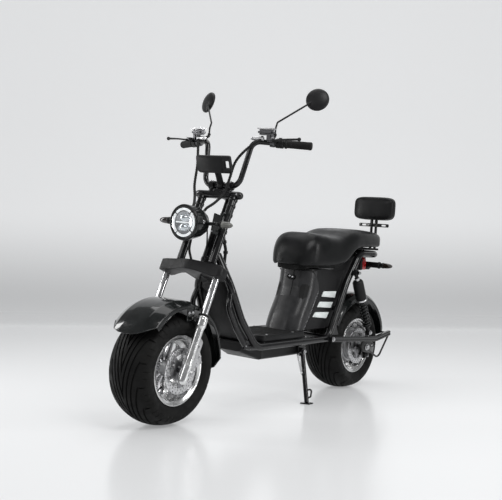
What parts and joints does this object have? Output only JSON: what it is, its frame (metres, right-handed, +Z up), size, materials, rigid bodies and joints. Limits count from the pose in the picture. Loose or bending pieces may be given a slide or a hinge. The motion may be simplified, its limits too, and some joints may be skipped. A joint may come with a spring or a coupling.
{
  "type": "electric scooter",
  "caption": "Fat-tyred electric scooter with a raked fork, high handlebar, footboard, hinged seat with a backrest, twin rear shocks and a side stand, parked leaning.",
  "frame": {"origin": "on the floor, under the middle of the parked scooter's box", "axes": "-Y towards the front wheel, +X towards the rider's left, +Z up; the scooter leans to its left on its side stand"},
  "size_m": [0.7034, 1.8483, 1.4195],
  "materials": {
    "black_steel": "gloss",
    "black_plastic": "satin",
    "gloss_plastic": "gloss",
    "rubber": "matte",
    "grip_rubber": "matte",
    "alloy": "satin",
    "grey_casting": "satin",
    "chrome": "polished",
    "disc_steel": "brushed",
    "leather": "satin",
    "clear_lens": "gloss",
    "red_lens": "gloss",
    "signal_lens": "gloss",
    "battery_case": "matte",
    "cable_sleeve": "matte"
  },
  "bodies": {
    "chassis": {"frame": "black_steel", "deck": "black_plastic", "belly_tray": "black_plastic", "pod_shell": "black_plastic", "pod_cover": "gloss_plastic", "battery": "battery_case", "rear_fender": "gloss_plastic", "swingarm": "black_steel", "shock_left": "black_steel", "shock_right": "black_steel", "rear_caliper": "black_steel", "tail_lamp": "red_lens", "tail_bar": "black_plastic", "rear_signal_left": "signal_lens", "rear_signal_right": "signal_lens", "backrest_frame": "black_steel", "backrest_pad": "leather"},
    "seat": {"seat_cushion": "leather", "seat_pan": "black_plastic"},
    "steering": {"fork_slider_left": "alloy", "fork_slider_right": "alloy", "fork_tube_left": "chrome", "fork_tube_right": "chrome", "lower_clamp": "black_steel", "upper_yoke": "black_steel", "handlebar": "black_steel", "grip_left": "grip_rubber", "grip_right": "grip_rubber", "brake_left": "grey_casting", "brake_right": "grey_casting", "lever_left": "black_plastic", "lever_right": "black_plastic", "mirror_left": "black_plastic", "mirror_right": "black_plastic", "display": "black_plastic", "headlight": "gloss_plastic", "headlight_lens": "clear_lens", "front_signal_left": "signal_lens", "front_signal_right": "signal_lens", "front_fender": "gloss_plastic", "front_caliper": "alloy", "front_axle": "disc_steel", "cable_left": "cable_sleeve", "cable_right": "cable_sleeve"},
    "front_wheel": {"front_tyre": "rubber", "front_rim": "alloy", "front_disc": "disc_steel"},
    "rear_wheel": {"rear_tyre": "rubber", "rear_rim": "alloy", "rear_disc": "disc_steel"},
    "stand": {"side_stand": "black_steel"}
  },
  "joints": [
    {"name": "steering_turn", "type": "hinge", "parent": "chassis", "child": "steering", "pos_m": [-0.07152, -0.6343, 0.22354], "axis": [0.0675, 0.3875, 0.9194], "range_deg": [-36.9, 33.1]},
    {"name": "front_wheel_spin", "type": "hinge", "parent": "steering", "child": "front_wheel", "pos_m": [-0.06954, -0.69927, 0.22338], "axis": [0.9958, 0.0306, -0.086], "continuous": true},
    {"name": "rear_wheel_spin", "type": "hinge", "parent": "chassis", "child": "rear_wheel", "pos_m": [-0.07152, 0.6477, 0.22354], "axis": [0.9973, 0, -0.0732], "continuous": true},
    {"name": "stand_fold", "type": "hinge", "parent": "chassis", "child": "stand", "pos_m": [0.05189, 0.1052, 0.23153], "axis": [0.9973, 0, -0.0732], "range_deg": [0, 85]},
    {"name": "seat_lid", "type": "hinge", "parent": "chassis", "child": "seat", "pos_m": [-0.04193, 0.1122, 0.62646], "axis": [0.9973, 0, -0.0732], "range_deg": [0, 75]}
  ]
}
